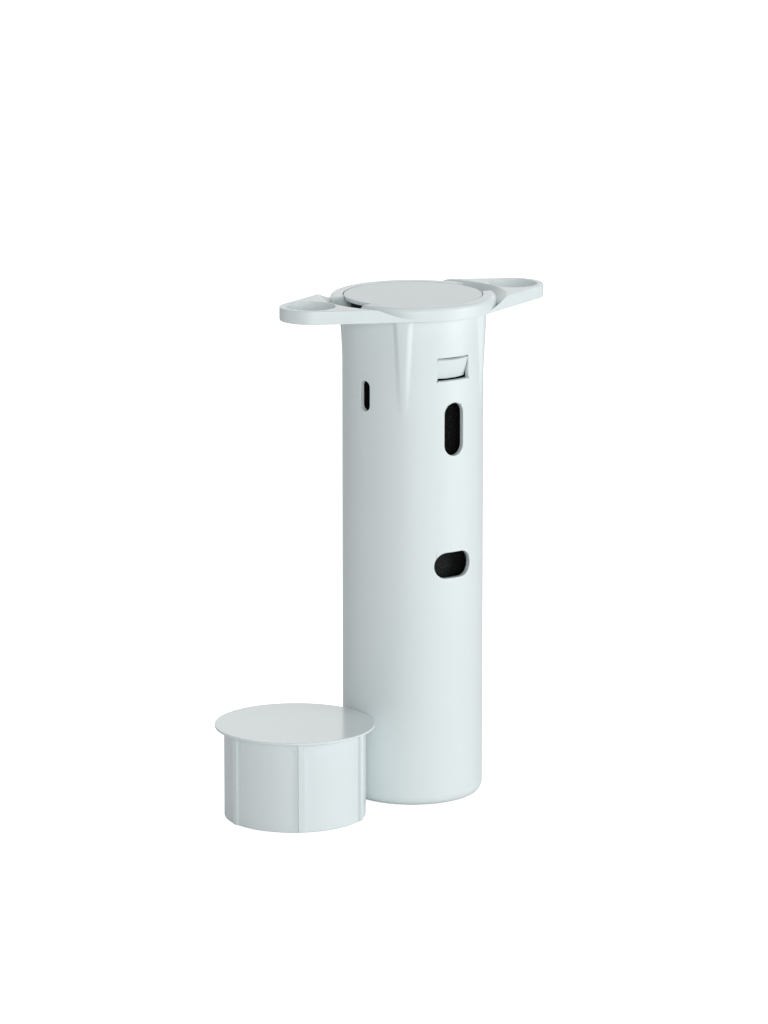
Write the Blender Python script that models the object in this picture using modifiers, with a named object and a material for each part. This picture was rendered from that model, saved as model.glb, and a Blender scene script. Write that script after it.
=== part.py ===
"""Tubular fire blanket case: flanged tube with a press-in lid, a rolled blanket and a loose ribbed cap.

Metres, +Z up. The origin is the middle of the closed base, which stands on the ground.
The two ears of the flange lie along X, and the row of openings in the tube faces -Y.
"""

import math

import bmesh
import bpy
from mathutils import Matrix, Vector

# ---------------------------------------------------------------- driving dimensions

# Tube
TUBE_RADIUS = 0.035
TUBE_WALL = 0.0025
FLOOR_THICKNESS = 0.0025
BASE_FILLET = 0.005
FLANGE_HEIGHT = 0.246  # ground to the underside of the flange

# Flange: a raised rim around the mouth and two ears
RIM_OVERHANG = 0.0062  # how far the rim stands out from the tube
RIM_HEIGHT = 0.0071
RIM_TOP_FILLET = 0.0024
RIM_STEP = 0.0003  # how far the rim stands out from the web, and starts above its underside
WEB_THICKNESS = 0.0014  # plate that carries the rim and the ears
EAR_HEIGHT = 0.0067
EAR_OFFSET = 0.0184  # rim to the middle of an ear's hole
EAR_HOLE_RADIUS = 0.0121
EAR_WALL = 0.0032  # around the hole
EAR_EDGE_ROUNDING = 0.0006
GROOVE_WIDTH = 0.0056  # rim to where the slope beside it meets the top of an ear
PRY_NOTCH_WIDTH = 0.026

# Gussets under the flange
GUSSET_ANGLES = (49.0, 131.0, 229.0, 311.0)
GUSSET_LENGTH = 0.050
GUSSET_TOP_RADIUS = 0.0046
GUSSET_FOOT_RADIUS = 0.0018
GUSSET_PROUD = 0.0022
GUSSET_SINK = 0.0008  # how deep its hidden foot lies in the wall

# Lid
LID_THICKNESS = 0.00175
LID_EDGE_ROUNDING = 0.0004
LID_BELOW_RIM = 0.0001
LID_EDGE_GAP = 0.0004
LEDGE_WIDTH = 0.0022  # seat of the lid, outside the bore
SKIRT_DEPTH = 0.007
SKIRT_WALL = 0.0015

# Openings in the tube: depth of the middle below the flange, width and height of each
COLUMN_TURN = 2.7  # degrees from -Y towards +X
TAB_WINDOW = (0.0252, 0.0186, 0.0115)
TALL_SLOT = (0.0555, 0.0112, 0.0265)
WIDE_SLOT = (0.1238, 0.0216, 0.0130)
SIDE_SLOT = (0.0393, 0.0060, 0.0150)
SIDE_SLOT_TURN = -75.4

# Snap tab in its window
TAB_TILT = 20.0  # degrees that it leans into the bore
TAB_FLEX = 2.0  # degrees that it can be pushed further in
TAB_SIDE_GAP = 0.0004
TAB_FOOT_GAP = 0.0006
TAB_HINGE_GAP = 0.0006
TAB_THICKNESS = 0.0020

# Rolled blanket and its pull tapes
ROLL_TAB_GAP = 0.001  # roll to the tip of the snap tab
HEADSPACE = 0.0284  # roll to the underside of the lid, room for the tapes
ROLL_EDGE_ROUNDING = 0.0018
TAPE_WIDTH = 0.020
TAPE_THICKNESS = 0.0016
TAPE_LOOP_RADIUS = 0.0062  # middle of the tape at the top of its loop
TAPE_LID_GAP = 0.0088
TAPE_MIDDLE_GAP = 0.0026  # tube axis to the nearest foot
TAPE_EDGE_MARGIN = 0.0024  # the other foot to the edge of the roll

# Loose ribbed cap
CAP_RADIUS = 0.0350
CAP_HEIGHT = 0.0465
CAP_WALL = 0.0020
CAP_LIP_WIDTH = 0.0046
CAP_LIP_THICKNESS = 0.0012
CAP_LIP_FLARE = 0.0016
CAP_EDGE_ROUNDING = 0.0008
CAP_RIBS = 6
CAP_RIB_WIDTH = 0.0030
CAP_RIB_PROUD = 0.0013
CAP_RIB_TURN = -116.8
CAP_BEARING = 186.3  # direction from the tube to the cap, in degrees
CAP_TUBE_GAP = 0.0005  # between the cap's lip and the tube

# Meshing
CLEARANCE = 0.0003
ROUND_STEPS = 96
FILLET_STEPS = 5
OVERCUT = 0.004  # how far a cutter runs past what it cuts

# ---------------------------------------------------------------- worked-out sizes

BORE_RADIUS = TUBE_RADIUS - TUBE_WALL
RIM_RADIUS = TUBE_RADIUS + RIM_OVERHANG
EAR_REACH = RIM_RADIUS + EAR_OFFSET
EAR_RADIUS = EAR_HOLE_RADIUS + EAR_WALL
GROOVE_TOP_RADIUS = RIM_RADIUS + GROOVE_WIDTH
CAP_LIP_RADIUS = CAP_RADIUS + CAP_LIP_WIDTH
RIM_TOP = FLANGE_HEIGHT + RIM_HEIGHT
WEB_TOP = FLANGE_HEIGHT + WEB_THICKNESS
LEDGE_RADIUS = BORE_RADIUS + LEDGE_WIDTH
LID_TOP = RIM_TOP - LID_BELOW_RIM
LID_UNDERSIDE = LID_TOP - LID_THICKNESS
LEDGE_HEIGHT = LID_UNDERSIDE - CLEARANCE
LID_RADIUS = LEDGE_RADIUS - LID_EDGE_GAP
TAB_HINGE_RADIUS = TUBE_RADIUS - TAB_THICKNESS
TAB_LENGTH = TAB_WINDOW[2] - TAB_HINGE_GAP - TAB_FOOT_GAP
TAB_TIP_RADIUS = TAB_HINGE_RADIUS - TAB_LENGTH * math.sin(math.radians(TAB_TILT + TAB_FLEX))
ROLL_RADIUS = TAB_TIP_RADIUS - ROLL_TAB_GAP
ROLL_FOOT = FLOOR_THICKNESS + CLEARANCE
ROLL_TOP = LID_UNDERSIDE - HEADSPACE

PALE_PLASTIC = (0.74, 0.79, 0.80, 1.0)
LID_PLASTIC = (0.78, 0.83, 0.84, 1.0)
CAP_PLASTIC = (0.77, 0.82, 0.83, 1.0)
BLACK_CLOTH = (0.012, 0.014, 0.013, 1.0)
BLACK_WEBBING = (0.020, 0.021, 0.022, 1.0)


# ---------------------------------------------------------------- helpers


def clear_scene():
    for obj in list(bpy.data.objects):
        bpy.data.objects.remove(obj, do_unlink=True)


def make_collection(name):
    collection = bpy.data.collections.new(name)
    bpy.context.scene.collection.children.link(collection)
    return collection


def make_material(name, colour, roughness, metallic=0.0):
    material = bpy.data.materials.new(name)
    material.use_nodes = True
    shader = material.node_tree.nodes["Principled BSDF"]
    shader.inputs["Base Color"].default_value = colour
    shader.inputs["Roughness"].default_value = roughness
    shader.inputs["Metallic"].default_value = metallic
    return material


def add_object(name, mesh, collection):
    obj = bpy.data.objects.new(name, mesh)
    collection.objects.link(obj)
    return obj


def mesh_from(bm, name):
    """The bmesh as a new mesh, with its faces turned outwards."""
    bmesh.ops.recalc_face_normals(bm, faces=bm.faces)
    mesh = bpy.data.meshes.new(name)
    bm.to_mesh(mesh)
    bm.free()
    return mesh


def arc(centre, radius, start, end, steps=FILLET_STEPS):
    """Points (x, z) of an arc in a turned profile; angles in degrees from +X."""
    points = []
    for step in range(steps + 1):
        angle = math.radians(start + (end - start) * step / steps)
        points.append((centre[0] + radius * math.cos(angle), centre[1] + radius * math.sin(angle)))
    return points


def turned(name, profile, collection, closed=False, steps=ROUND_STEPS):
    """A profile of (x, z) points, running down the outer side, swept once around Z."""
    mesh = bpy.data.meshes.new(name)
    edges = [(i, i + 1) for i in range(len(profile) - 1)]
    if closed:
        edges.append((len(profile) - 1, 0))
    mesh.from_pydata([(x, 0.0, z) for x, z in profile], edges, [])
    obj = add_object(name, mesh, collection)
    screw = obj.modifiers.new("turn", "SCREW")
    screw.steps = steps
    screw.render_steps = steps
    screw.use_merge_vertices = True
    screw.merge_threshold = 0.00001
    screw.use_smooth_shade = True
    return obj


def hull_of_discs(name, discs, depth, collection, steps=48):
    """The prism around several discs (x, y, radius, steps), standing on z = 0."""
    bm = bmesh.new()
    for x, y, radius, *own_steps in discs:
        bmesh.ops.create_cone(
            bm,
            cap_ends=True,
            segments=own_steps[0] if own_steps else steps,
            radius1=radius,
            radius2=radius,
            depth=depth,
            matrix=Matrix.Translation((x, y, depth / 2)),
        )
    hull = bmesh.ops.convex_hull(bm, input=bm.verts)
    spare = {item for item in hull["geom_interior"] + hull["geom_unused"] if isinstance(item, bmesh.types.BMVert)}
    bmesh.ops.delete(bm, geom=list(spare), context="VERTS")
    keep = {item for item in hull["geom"] if isinstance(item, bmesh.types.BMFace)}
    bmesh.ops.delete(bm, geom=[face for face in bm.faces if face not in keep], context="FACES_ONLY")
    bmesh.ops.dissolve_limit(bm, angle_limit=math.radians(1.0), verts=bm.verts, edges=bm.edges)
    return add_object(name, mesh_from(bm, name), collection)


def box(name, low, high, collection):
    """A box from its lowest and highest corners."""
    low = Vector(low)
    high = Vector(high)
    bm = bmesh.new()
    bmesh.ops.create_cube(bm, size=1.0)
    bmesh.ops.scale(bm, vec=high - low, verts=bm.verts)
    bmesh.ops.translate(bm, vec=(high + low) / 2, verts=bm.verts)
    return add_object(name, mesh_from(bm, name), collection)


def combine(target, other, operation):
    """A Boolean on target; other becomes a hidden helper."""
    step = target.modifiers.new(other.name, "BOOLEAN")
    step.operation = operation
    step.solver = "EXACT"
    step.object = other
    other.hide_render = True
    other.display_type = "WIRE"


def bevel(obj, width, segments=2, angle=40.0):
    step = obj.modifiers.new("round", "BEVEL")
    step.width = width
    step.segments = segments
    step.limit_method = "ANGLE"
    step.angle_limit = math.radians(angle)


def finish(obj, material):
    obj.data.materials.append(material)
    for polygon in obj.data.polygons:
        polygon.use_smooth = True
    if obj.data.polygons:
        obj.data.set_sharp_from_angle(angle=math.radians(35.0))


def through_wall(name, opening, turn, collection, rounded=True):
    """A cutter through the tube wall, for an opening (depth below the flange, width, height)."""
    below, width, height = opening
    depth = TUBE_WALL + 2 * OVERCUT
    if rounded:
        radius = min(width, height) / 2
        along = max(width, height) / 2 - radius
        ends = [(along, 0.0), (-along, 0.0)] if width > height else [(0.0, along), (0.0, -along)]
        cutter = hull_of_discs(name, [(x, y, radius) for x, y in ends], depth, collection, steps=32)
    else:
        cutter = box(name, (-width / 2, -height / 2, 0.0), (width / 2, height / 2, depth), collection)
    lay_down = Matrix.Rotation(math.radians(90.0), 4, "X")
    seat = Matrix.Translation((0.0, -(BORE_RADIUS - OVERCUT), FLANGE_HEIGHT - below))
    cutter.matrix_world = Matrix.Rotation(math.radians(turn), 4, "Z") @ seat @ lay_down
    return cutter


# ---------------------------------------------------------------- case


def tube_core(parts):
    """Solid tube with a rounded base; the bore is cut later."""
    top = FLANGE_HEIGHT + WEB_THICKNESS * 0.6
    outline = [(0.0, top), (TUBE_RADIUS, top)]
    outline += arc((TUBE_RADIUS - BASE_FILLET, BASE_FILLET), BASE_FILLET, 0.0, -90.0)
    outline.append((0.0, 0.0))
    return turned("case_body", outline, parts)


def ear_plate(helpers):
    """Web and both ears: the hull around rim and ears, with the slope beside the rim."""
    web_radius = RIM_RADIUS - RIM_STEP
    discs = [(0.0, 0.0, web_radius, ROUND_STEPS)]
    discs += [(side * EAR_REACH, 0.0, EAR_RADIUS) for side in (-1, 1)]
    plate = hull_of_discs("ear_plate", discs, EAR_HEIGHT, helpers)
    plate.location.z = FLANGE_HEIGHT
    bevel(plate, EAR_EDGE_ROUNDING)
    rise = EAR_HEIGHT - WEB_THICKNESS
    slope = (GROOVE_TOP_RADIUS - web_radius) / rise
    groove = turned(
        "groove_cutter",
        [
            (0.0, FLANGE_HEIGHT + EAR_HEIGHT + OVERCUT),
            (GROOVE_TOP_RADIUS + slope * OVERCUT, FLANGE_HEIGHT + EAR_HEIGHT + OVERCUT),
            (web_radius, WEB_TOP),
            (0.0, WEB_TOP),
        ],
        helpers,
    )
    combine(plate, groove, "DIFFERENCE")
    return plate


def ear_hole_cutter(side, helpers):
    """A cylinder through one ear."""
    depth = EAR_HEIGHT + 2 * OVERCUT
    cutter = hull_of_discs("ear_hole_cutter", [(side * EAR_REACH, 0.0, EAR_HOLE_RADIUS, 64)], depth, helpers)
    cutter.location.z = FLANGE_HEIGHT - OVERCUT
    return cutter


def rim_ring(helpers):
    """Raised rim, open beside both ears so that a blade reaches under the lid."""
    inner = BORE_RADIUS - OVERCUT
    foot = FLANGE_HEIGHT + RIM_STEP
    shoulder = (RIM_RADIUS - RIM_TOP_FILLET, RIM_TOP - RIM_TOP_FILLET)
    outline = arc(shoulder, RIM_TOP_FILLET, 90.0, 0.0)
    outline += [(RIM_RADIUS, foot), (inner, foot), (inner, RIM_TOP)]
    ring = turned("rim_ring", outline, helpers, closed=True)
    for side in (-1, 1):
        reach = sorted((side * (inner - 2 * OVERCUT), side * (RIM_RADIUS + OVERCUT)))
        notch = box(
            "pry_notch_cutter",
            (reach[0], -PRY_NOTCH_WIDTH / 2, WEB_TOP - WEB_THICKNESS - OVERCUT),
            (reach[1], PRY_NOTCH_WIDTH / 2, RIM_TOP + OVERCUT),
            helpers,
        )
        combine(ring, notch, "DIFFERENCE")
    return ring


def gusset(angle, helpers):
    """A tapered round rib, sunk in the wall, widest under the flange."""
    top = FLANGE_HEIGHT + WEB_THICKNESS / 3
    depth = GUSSET_LENGTH * (1 + GUSSET_SINK / GUSSET_PROUD)
    crest_top = TUBE_RADIUS + GUSSET_PROUD
    crest_foot = TUBE_RADIUS - GUSSET_SINK
    bm = bmesh.new()
    bmesh.ops.create_cone(
        bm, cap_ends=True, segments=22, radius1=GUSSET_FOOT_RADIUS, radius2=GUSSET_TOP_RADIUS, depth=depth
    )
    for vert in bm.verts:
        at_top = vert.co.z > 0.0
        vert.co.x += crest_top - GUSSET_TOP_RADIUS if at_top else crest_foot - GUSSET_FOOT_RADIUS
        vert.co.z += top - depth / 2
    rib = add_object("gusset", mesh_from(bm, "gusset"), helpers)
    rib.rotation_euler.z = math.radians(angle)
    return rib


def bore_cutter(helpers):
    """The bore with its rounded floor, and the wider seat of the lid above it."""
    corner = BASE_FILLET - TUBE_WALL
    outline = [(0.0, RIM_TOP + OVERCUT), (LEDGE_RADIUS, RIM_TOP + OVERCUT), (LEDGE_RADIUS, LEDGE_HEIGHT)]
    outline.append((BORE_RADIUS, LEDGE_HEIGHT))
    outline += arc((BORE_RADIUS - corner, FLOOR_THICKNESS + corner), corner, 0.0, -90.0, 4)
    outline.append((0.0, FLOOR_THICKNESS))
    return turned("bore_cutter", outline, helpers)


def case_body(parts, helpers, material):
    body = tube_core(parts)
    for angle in GUSSET_ANGLES:
        combine(body, gusset(angle, helpers), "UNION")
    combine(body, ear_plate(helpers), "UNION")
    combine(body, rim_ring(helpers), "UNION")
    combine(body, bore_cutter(helpers), "DIFFERENCE")
    for side in (-1, 1):
        combine(body, ear_hole_cutter(side, helpers), "DIFFERENCE")
    combine(body, through_wall("tab_window_cutter", TAB_WINDOW, COLUMN_TURN, helpers, rounded=False), "DIFFERENCE")
    combine(body, through_wall("tall_slot_cutter", TALL_SLOT, COLUMN_TURN, helpers), "DIFFERENCE")
    combine(body, through_wall("wide_slot_cutter", WIDE_SLOT, COLUMN_TURN, helpers), "DIFFERENCE")
    combine(body, through_wall("side_slot_cutter", SIDE_SLOT, SIDE_SLOT_TURN, helpers), "DIFFERENCE")
    finish(body, material)
    return body


def snap_tab(parts, material):
    """Curved tab that hangs from the top of its window and leans into the bore."""
    below, width, height = TAB_WINDOW
    hinge_height = FLANGE_HEIGHT - below + height / 2 - TAB_HINGE_GAP
    hinge_radius = TAB_HINGE_RADIUS
    half_angle = math.asin((width / 2 - TAB_SIDE_GAP) / TUBE_RADIUS)
    bm = bmesh.new()
    corners = [(TUBE_RADIUS, 0.0), (TUBE_RADIUS, -TAB_LENGTH), (hinge_radius, -TAB_LENGTH), (hinge_radius, 0.0)]
    section = bm.faces.new([bm.verts.new((0.0, -radius, z)) for radius, z in corners])
    bmesh.ops.rotate(bm, verts=bm.verts, matrix=Matrix.Rotation(-half_angle, 3, "Z"))
    bmesh.ops.spin(
        bm,
        geom=[section, *section.edges, *section.verts],
        axis=(0.0, 0.0, 1.0),
        cent=(0.0, 0.0, 0.0),
        angle=2 * half_angle,
        steps=10,
    )
    bmesh.ops.translate(bm, vec=(0.0, hinge_radius, 0.0), verts=bm.verts)
    tab = add_object("snap_tab", mesh_from(bm, "snap_tab"), parts)
    turn = math.radians(COLUMN_TURN)
    tab.location = (hinge_radius * math.sin(turn), -hinge_radius * math.cos(turn), hinge_height)
    tab.rotation_euler = (math.radians(TAB_TILT), 0.0, turn)
    finish(tab, material)
    return tab


# ---------------------------------------------------------------- lid


def lid(parts, helpers, material):
    """Disc with a skirt that plugs the bore, cut away where the pry notches are."""
    outer = BORE_RADIUS - CLEARANCE
    inner = outer - SKIRT_WALL
    top = LID_TOP
    rounding = LID_EDGE_ROUNDING
    outline = [(0.0, top)]
    outline += arc((LID_RADIUS - rounding, top - rounding), rounding, 90.0, 0.0, 3)
    outline += [
        (LID_RADIUS, LID_UNDERSIDE),
        (outer, LID_UNDERSIDE),
        (outer, LID_UNDERSIDE - SKIRT_DEPTH + rounding),
        (outer - rounding, LID_UNDERSIDE - SKIRT_DEPTH),
        (inner, LID_UNDERSIDE - SKIRT_DEPTH),
        (inner, LID_UNDERSIDE),
        (0.0, LID_UNDERSIDE),
    ]
    disc = turned("lid", outline, parts)
    for side in (-1, 1):
        reach = sorted((side * (inner - 3 * OVERCUT), side * (outer + OVERCUT)))
        gap = box(
            "skirt_gap_cutter",
            (reach[0], -PRY_NOTCH_WIDTH / 2, LID_UNDERSIDE - SKIRT_DEPTH - OVERCUT),
            (reach[1], PRY_NOTCH_WIDTH / 2, LID_UNDERSIDE),
            helpers,
        )
        combine(disc, gap, "DIFFERENCE")
    finish(disc, material)
    return disc


# ---------------------------------------------------------------- blanket


def blanket_roll(parts, material):
    """The blanket, folded and rolled, as the plain solid that it fills."""
    rounding = ROLL_EDGE_ROUNDING
    outline = [(0.0, ROLL_TOP)]
    outline += arc((ROLL_RADIUS - rounding, ROLL_TOP - rounding), rounding, 90.0, 0.0, 3)
    outline += arc((ROLL_RADIUS - rounding, ROLL_FOOT + rounding), rounding, 0.0, -90.0, 3)
    outline.append((0.0, ROLL_FOOT))
    roll = turned("blanket_roll", outline, parts, steps=48)
    finish(roll, material)
    return roll


def pull_tape(name, side, parts, material):
    """A webbing loop that stands on the roll, with its two feet sewn down."""
    bottom = ROLL_TOP + CLEARANCE + TAPE_THICKNESS / 2
    crown = LID_UNDERSIDE - TAPE_LID_GAP - TAPE_THICKNESS / 2 - TAPE_LOOP_RADIUS
    reach = (ROLL_RADIUS - TAPE_EDGE_MARGIN - TAPE_MIDDLE_GAP) / 2
    path = [(-reach, bottom), (-TAPE_LOOP_RADIUS, bottom)]
    path += arc((0.0, crown), TAPE_LOOP_RADIUS, 180.0, 0.0, 12)
    path += [(TAPE_LOOP_RADIUS, bottom), (reach, bottom)]
    bm = bmesh.new()
    spine = [bm.verts.new((x, -TAPE_WIDTH / 2, z)) for x, z in path]
    edges = [bm.edges.new(pair) for pair in zip(spine, spine[1:])]
    strip = bmesh.ops.extrude_edge_only(bm, edges=edges)
    moved = [item for item in strip["geom"] if isinstance(item, bmesh.types.BMVert)]
    bmesh.ops.translate(bm, vec=(0.0, TAPE_WIDTH, 0.0), verts=moved)
    tape = add_object(name, mesh_from(bm, name), parts)
    thicken = tape.modifiers.new("webbing", "SOLIDIFY")
    thicken.thickness = TAPE_THICKNESS
    thicken.offset = 0.0
    thicken.use_even_offset = True
    tape.location.x = side * (TAPE_MIDDLE_GAP + reach)
    finish(tape, material)
    return tape


# ---------------------------------------------------------------- cap


def ribbed_cap(parts, helpers, material):
    """Cap with a flat top, a thin lip and upright ribs, hollow from below, standing beside the tube."""
    inner = CAP_RADIUS - CAP_WALL
    ceiling = CAP_HEIGHT - CAP_WALL
    rounding = CAP_EDGE_ROUNDING
    lip_underside = CAP_HEIGHT - CAP_LIP_THICKNESS
    outline = [
        (CAP_LIP_RADIUS - CAP_LIP_THICKNESS / 3, CAP_HEIGHT),
        (CAP_LIP_RADIUS, CAP_HEIGHT - CAP_LIP_THICKNESS / 3),
        (CAP_LIP_RADIUS, lip_underside),
        (CAP_RADIUS + CAP_LIP_FLARE, lip_underside),
        (CAP_RADIUS, lip_underside - CAP_LIP_FLARE),
    ]
    outline += arc((CAP_RADIUS - rounding, rounding), rounding, 0.0, -90.0, 3)
    outline += [(0.0, 0.0)]
    cap = turned("ribbed_cap", [(0.0, CAP_HEIGHT)] + outline, parts)
    for index in range(CAP_RIBS):
        rib = box(
            "cap_rib",
            (CAP_RADIUS - CAP_WALL, -CAP_RIB_WIDTH / 2, rounding / 2),
            (CAP_RADIUS + CAP_RIB_PROUD, CAP_RIB_WIDTH / 2, CAP_HEIGHT - CAP_LIP_THICKNESS / 2),
            helpers,
        )
        bevel(rib, CAP_RIB_PROUD / 3)
        rib.rotation_euler.z = math.radians(CAP_RIB_TURN + index * 360.0 / CAP_RIBS)
        rib.parent = cap
        combine(cap, rib, "UNION")
    hollow = turned(
        "cap_hollow_cutter",
        [(0.0, ceiling)]
        + arc((inner - rounding, ceiling - rounding), rounding, 90.0, 0.0, 3)
        + [(inner, -OVERCUT), (0.0, -OVERCUT)],
        helpers,
    )
    hollow.parent = cap
    combine(cap, hollow, "DIFFERENCE")
    bearing = math.radians(CAP_BEARING)
    distance = TUBE_RADIUS + CAP_TUBE_GAP + CAP_LIP_RADIUS
    cap.location = (distance * math.cos(bearing), distance * math.sin(bearing), 0.0)
    finish(cap, material)
    return cap


def main():
    clear_scene()
    parts = make_collection("fire_blanket_case")
    helpers = make_collection("cutters")
    plastic = make_material("case_plastic", PALE_PLASTIC, 0.30)
    lid_plastic = make_material("lid_plastic", LID_PLASTIC, 0.36)
    cap_plastic = make_material("cap_plastic", CAP_PLASTIC, 0.34)
    cloth = make_material("blanket_cloth", BLACK_CLOTH, 0.90)
    webbing = make_material("tape_webbing", BLACK_WEBBING, 0.80)
    case_body(parts, helpers, plastic)
    snap_tab(parts, plastic)
    lid(parts, helpers, lid_plastic)
    blanket_roll(parts, cloth)
    pull_tape("pull_tape_left", -1, parts, webbing)
    pull_tape("pull_tape_right", 1, parts, webbing)
    ribbed_cap(parts, helpers, cap_plastic)


main()
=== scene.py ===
# %% [markdown]
# A tube-shaped case for a fire blanket, with its loose cap
#
# The case is a moulded plastic tube with a closed, rounded base. A flange at its mouth has a raised rim
# and two ears with large holes. A flat lid is pressed into the rim. Inside stands a black glass-fibre
# blanket, folded and rolled, with two webbing loops on top to pull it out by. A small ribbed cap stands
# beside the case.
#
# The solid model is loaded first and is never changed. Each finished piece made here rides on one of its
# bodies, so that it moves when the body moves.

# %% Load the solid model
import math
import random

import bmesh
import bpy
from mathutils import Matrix, Vector


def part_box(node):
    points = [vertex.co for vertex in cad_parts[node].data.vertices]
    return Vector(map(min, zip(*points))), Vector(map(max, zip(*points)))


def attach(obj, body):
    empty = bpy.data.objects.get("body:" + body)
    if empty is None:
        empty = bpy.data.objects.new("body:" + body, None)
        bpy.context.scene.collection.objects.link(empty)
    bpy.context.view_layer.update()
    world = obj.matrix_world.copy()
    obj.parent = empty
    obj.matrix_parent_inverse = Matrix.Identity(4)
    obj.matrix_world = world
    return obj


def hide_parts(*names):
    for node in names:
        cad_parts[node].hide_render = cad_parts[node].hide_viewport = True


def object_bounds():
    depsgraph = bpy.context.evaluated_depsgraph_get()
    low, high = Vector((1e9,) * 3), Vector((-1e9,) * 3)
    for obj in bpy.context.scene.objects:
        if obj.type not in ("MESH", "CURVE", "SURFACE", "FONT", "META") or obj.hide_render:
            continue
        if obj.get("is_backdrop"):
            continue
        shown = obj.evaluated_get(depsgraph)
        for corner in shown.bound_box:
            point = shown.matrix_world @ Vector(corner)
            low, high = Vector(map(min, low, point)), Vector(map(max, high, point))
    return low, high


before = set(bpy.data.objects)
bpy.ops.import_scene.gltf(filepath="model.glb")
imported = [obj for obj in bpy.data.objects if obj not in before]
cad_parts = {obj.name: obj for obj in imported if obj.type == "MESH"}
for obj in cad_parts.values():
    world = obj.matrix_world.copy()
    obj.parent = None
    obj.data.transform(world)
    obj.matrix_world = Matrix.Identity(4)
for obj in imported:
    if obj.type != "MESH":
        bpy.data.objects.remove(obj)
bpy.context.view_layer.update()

print("nodes:", sorted(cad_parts))

# %% [markdown]
# The sizes that the pieces share. Everything is in metres, the origin is the middle of the closed base,
# and the ears lie along X. Boxes of the solid model give the heights and reaches, so that the pieces made
# here can't drift away from it. What a box can't tell, such as a wall, is named here once.

# %% Sizes
MM = 0.001
SIDES = 288  # facets round a turned piece: enough that a glossy tube shows none
TINY = 0.02 * MM

_, case_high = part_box("case_body")
_, lid_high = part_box("lid")
roll_low, roll_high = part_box("blanket_roll")
cap_low, cap_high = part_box("ribbed_cap")
tape_low, tape_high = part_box("pull_tape_right")

RIM_TOP = case_high.z
RIM_RADIUS = case_high.y
RIM_HEIGHT = 7.1 * MM
FLANGE_HEIGHT = RIM_TOP - RIM_HEIGHT
TUBE_RADIUS = RIM_RADIUS - 6.2 * MM
BORE_RADIUS = TUBE_RADIUS - 2.5 * MM
FLOOR = 2.5 * MM
BASE_FILLET = 5.0 * MM
WEB = 1.4 * MM
EAR_HEIGHT = 6.7 * MM
EAR_HOLE = 12.1 * MM
EAR_RADIUS = EAR_HOLE + 3.2 * MM
EAR_REACH = case_high.x - EAR_RADIUS
GROOVE_TOP = RIM_RADIUS + 5.6 * MM
NOTCH_WIDTH = 26.0 * MM
LID_RADIUS = lid_high.x
LID_TOP = lid_high.z
LID_UNDERSIDE = LID_TOP - 1.75 * MM
LEDGE_RADIUS = LID_RADIUS + 0.4 * MM
LEDGE_HEIGHT = LID_UNDERSIDE - 0.3 * MM
PAST = 4.0 * MM  # how far a cutter runs past what it cuts

# an opening is (depth of its middle below the flange, width, height, turn round the tube in degrees)
COLUMN = 2.7
TAB_WINDOW = (25.2 * MM, 18.6 * MM, 11.5 * MM, COLUMN)
TALL_SLOT = (55.5 * MM, 11.2 * MM, 26.5 * MM, COLUMN)
WIDE_SLOT = (123.8 * MM, 21.6 * MM, 13.0 * MM, COLUMN)
SIDE_SLOT = (39.3 * MM, 6.0 * MM, 15.0 * MM, -75.4)

print(f"tube {2000 * TUBE_RADIUS:.1f} mm across, {1000 * RIM_TOP:.1f} mm high")
print(f"ears reach {1000 * case_high.x:.1f} mm")

# %% [markdown]
# Hands. Blender's operators work on whatever is selected, so every step starts by putting everything down and
# picking up one piece. In edit mode, parts of a mesh are then chosen by where they lie.

# %% Picking up and choosing
def put_down():
    """Leaves edit mode, with nothing selected."""
    if bpy.context.object and bpy.context.object.mode != "OBJECT":
        bpy.ops.object.mode_set(mode="OBJECT")
    bpy.ops.object.select_all(action="DESELECT")


def pick_up(piece):
    """Makes one piece active, and the only one selected."""
    put_down()
    piece.select_set(True)
    bpy.context.view_layer.objects.active = piece
    return piece


def open_mesh(piece, kind="FACE"):
    """Edit mode, picking VERT, EDGE or FACE, with nothing chosen yet."""
    pick_up(piece)
    bpy.ops.object.mode_set(mode="EDIT")
    bpy.ops.mesh.select_mode(type=kind)
    bpy.ops.mesh.select_all(action="DESELECT")
    return piece


def choose(piece, kind, test):
    """Chooses the verts, edges or faces that pass a test, and returns how many."""
    cage = bmesh.from_edit_mesh(piece.data)
    chosen = [item for item in getattr(cage, kind) if test(item)]
    for item in chosen:
        item.select_set(True)
    cage.select_flush_mode()
    bmesh.update_edit_mesh(piece.data)
    return len(chosen)


def named(name):
    """The piece that an operator has just made, with its place moved into its mesh."""
    piece = bpy.context.object
    piece.name = name
    piece.data.name = name
    bpy.ops.object.transform_apply(location=True, rotation=True, scale=True)
    return piece


# %% Modifiers that are applied at once
def apply_step(piece, kind, **settings):
    """Adds a modifier and applies it, as a designer does before the next cut."""
    pick_up(piece)
    step = piece.modifiers.new(kind.lower(), kind)
    for setting, value in settings.items():
        setattr(step, setting, value)
    bpy.ops.object.modifier_apply(modifier=step.name)
    return piece


def join_solid(piece, other):
    apply_step(piece, "BOOLEAN", operation="UNION", solver="EXACT", object=other)
    bpy.data.objects.remove(other)


def cut_away(piece, cutter):
    apply_step(piece, "BOOLEAN", operation="DIFFERENCE", solver="EXACT", object=cutter)
    bpy.data.objects.remove(cutter)


def told(piece):
    """Prints a piece's triangles and its open edges."""
    cage = bmesh.new()
    cage.from_mesh(piece.data)
    triangles = sum(len(face.verts) - 2 for face in cage.faces)
    gaps = sum(not edge.is_manifold for edge in cage.edges)
    cage.free()
    print(f"{piece.name}: {triangles} triangles, {gaps} open edges")
    return piece


# %% [markdown]
# Turned shapes. The tube, the rim, the lid and the cap are all round, so each is made in the way a pot is
# thrown: a flat disc whose face is drawn up and out, ring after ring. A spin of a profile would do it
# too, but leaves a seam and a pole that have to be closed afterwards. Corners are then rounded with a
# bevel on the rings that lie there.

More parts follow.
